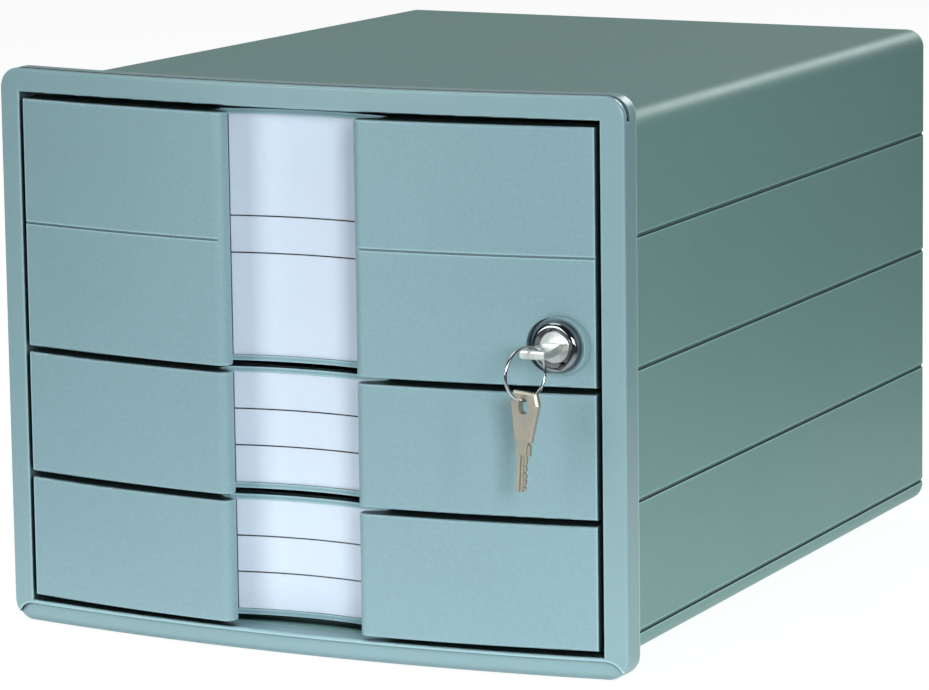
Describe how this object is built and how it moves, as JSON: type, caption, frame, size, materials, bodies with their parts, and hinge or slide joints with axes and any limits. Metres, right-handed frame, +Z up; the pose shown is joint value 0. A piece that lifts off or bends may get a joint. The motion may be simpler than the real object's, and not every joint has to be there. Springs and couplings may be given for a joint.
{
  "type": "desktop file drawer",
  "caption": "Desktop drawer box for papers: a moulded casing with a bowed front, pull-out drawers with label recesses, and a cam lock with its key, ring and spare key.",
  "frame": {"origin": "on the floor, below the middle of the whole object's width and depth, the key ring in front of it included", "axes": "+X to the right as seen from the front, +Y from the front to the rear, +Z up"},
  "size_m": [0.294, 0.3974, 0.2421],
  "materials": {
    "casing_shell": "fine-grained cool grey moulding",
    "front_frame": "satin cool grey moulding",
    "drawer_fronts": "satin cool grey moulding",
    "drawer_trays": "plain cool grey moulding",
    "foot_pads": "black rubber",
    "label_card": "white paper card with ruled lines",
    "label_cover": "clear plastic sheet",
    "lock_housing": "bright chrome",
    "lock_nut": "zinc plated",
    "lock_plug": "nickel plated",
    "lock_cam": "zinc plated",
    "cam_screw": "zinc plated",
    "inserted_key": "nickel plated brass",
    "key_ring": "bright sprung steel wire",
    "spare_key": "nickel plated brass"
  },
  "bodies": {
    "casing": {"casing_shell": "casing_shell", "front_frame": "front_frame", "foot_pad_front_left": "foot_pads", "foot_pad_front_right": "foot_pads", "foot_pad_rear_left": "foot_pads", "foot_pad_rear_right": "foot_pads"},
    "bottom_drawer": {"bottom_drawer_tray": "drawer_trays", "bottom_drawer_front": "drawer_fronts", "bottom_drawer_label_card": "label_card", "bottom_drawer_label_cover": "label_cover"},
    "middle_drawer": {"middle_drawer_tray": "drawer_trays", "middle_drawer_front": "drawer_fronts", "middle_drawer_label_card": "label_card", "middle_drawer_label_cover": "label_cover"},
    "top_drawer": {"top_drawer_tray": "drawer_trays", "top_drawer_front": "drawer_fronts", "top_drawer_label_card": "label_card", "top_drawer_label_cover": "label_cover", "lock_housing": "lock_housing", "lock_nut": "lock_nut"},
    "lock_core": {"lock_plug": "lock_plug", "lock_cam": "lock_cam", "cam_screw": "cam_screw"},
    "turning_key": {"inserted_key": "inserted_key"},
    "ring": {"key_ring": "key_ring"},
    "hanging_key": {"spare_key": "spare_key"}
  },
  "joints": [
    {"name": "bottom_drawer_slide", "type": "slide", "parent": "casing", "child": "bottom_drawer", "axis": [0, -1, 0], "range_m": [0, 0.28]},
    {"name": "middle_drawer_slide", "type": "slide", "parent": "casing", "child": "middle_drawer", "axis": [0, -1, 0], "range_m": [0, 0.28]},
    {"name": "top_drawer_slide", "type": "slide", "parent": "casing", "child": "top_drawer", "axis": [0, -1, 0], "range_m": [0, 0.28]},
    {"name": "lock_turn", "type": "hinge", "parent": "top_drawer", "child": "lock_core", "pos_m": [0.1192, -0.16657, 0.13957], "axis": [0, 1, 0], "range_deg": [0, 90]},
    {"name": "key_slide", "type": "slide", "parent": "lock_core", "child": "turning_key", "axis": [0, -1, 0], "range_m": [0, 0.022]},
    {"name": "ring_swing", "type": "hinge", "parent": "turning_key", "child": "ring", "pos_m": [0.11661, -0.18807, 0.13207], "axis": [0.9272, -0.3746, 0], "range_deg": [-85, 20]},
    {"name": "spare_key_swing", "type": "hinge", "parent": "ring", "child": "hanging_key", "pos_m": [0.11661, -0.18807, 0.12127], "axis": [-0.3746, -0.9272, 0], "range_deg": [-20, 20]}
  ]
}
